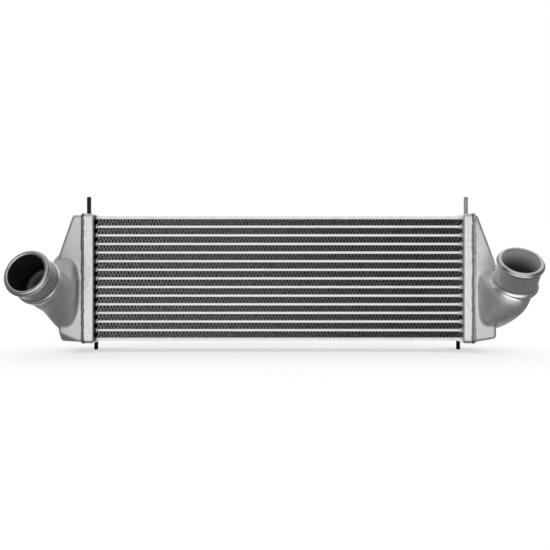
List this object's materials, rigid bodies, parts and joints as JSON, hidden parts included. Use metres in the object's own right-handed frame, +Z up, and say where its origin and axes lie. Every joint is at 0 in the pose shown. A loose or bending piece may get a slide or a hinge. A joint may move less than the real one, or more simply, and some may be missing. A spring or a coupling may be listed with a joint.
{
  "type": "intercooler",
  "caption": "Car charge-air cooler: a core of flat tubes and corrugated fins between two cast end tanks with angled, beaded hose ports and locating pins.",
  "frame": {"origin": "middle of the lower side plate's web, on its underside", "axes": "+X runs along the tubes from the left tank to the right one, -Y is the side that faces the wind and the viewer of the picture, +Z is up"},
  "size_m": [0.7289, 0.1864, 0.226],
  "materials": {
    "cast_alloy": "as cast, fine satin",
    "plate_alloy": "mill finish, satin",
    "tube_alloy": "brazed, dull",
    "fin_alloy": "brazed, dull",
    "weld_alloy": "welded bead, slightly stained",
    "pin_metal": "turned"
  },
  "bodies": {
    "root": {"bottom_pin_left": "pin_metal", "bottom_pin_right": "pin_metal", "fin_01": "fin_alloy", "fin_02": "fin_alloy", "fin_03": "fin_alloy", "fin_04": "fin_alloy", "fin_05": "fin_alloy", "fin_06": "fin_alloy", "fin_07": "fin_alloy", "fin_08": "fin_alloy", "fin_09": "fin_alloy", "fin_10": "fin_alloy", "fin_11": "fin_alloy", "fin_12": "fin_alloy", "fin_13": "fin_alloy", "fin_14": "fin_alloy", "header_left": "plate_alloy", "header_right": "plate_alloy", "side_plate_bottom": "plate_alloy", "side_plate_top": "plate_alloy", "tank_left": "cast_alloy", "tank_right": "cast_alloy", "top_pin_left": "pin_metal", "top_pin_right": "pin_metal", "tube_01": "tube_alloy", "tube_02": "tube_alloy", "tube_03": "tube_alloy", "tube_04": "tube_alloy", "tube_05": "tube_alloy", "tube_06": "tube_alloy", "tube_07": "tube_alloy", "tube_08": "tube_alloy", "tube_09": "tube_alloy", "tube_10": "tube_alloy", "tube_11": "tube_alloy", "tube_12": "tube_alloy", "tube_13": "tube_alloy", "turbulator_01": "fin_alloy", "turbulator_02": "fin_alloy", "turbulator_03": "fin_alloy", "turbulator_04": "fin_alloy", "turbulator_05": "fin_alloy", "turbulator_06": "fin_alloy", "turbulator_07": "fin_alloy", "turbulator_08": "fin_alloy", "turbulator_09": "fin_alloy", "turbulator_10": "fin_alloy", "turbulator_11": "fin_alloy", "turbulator_12": "fin_alloy", "turbulator_13": "fin_alloy", "weld_left": "weld_alloy", "weld_right": "weld_alloy"}
  },
  "joints": []
}
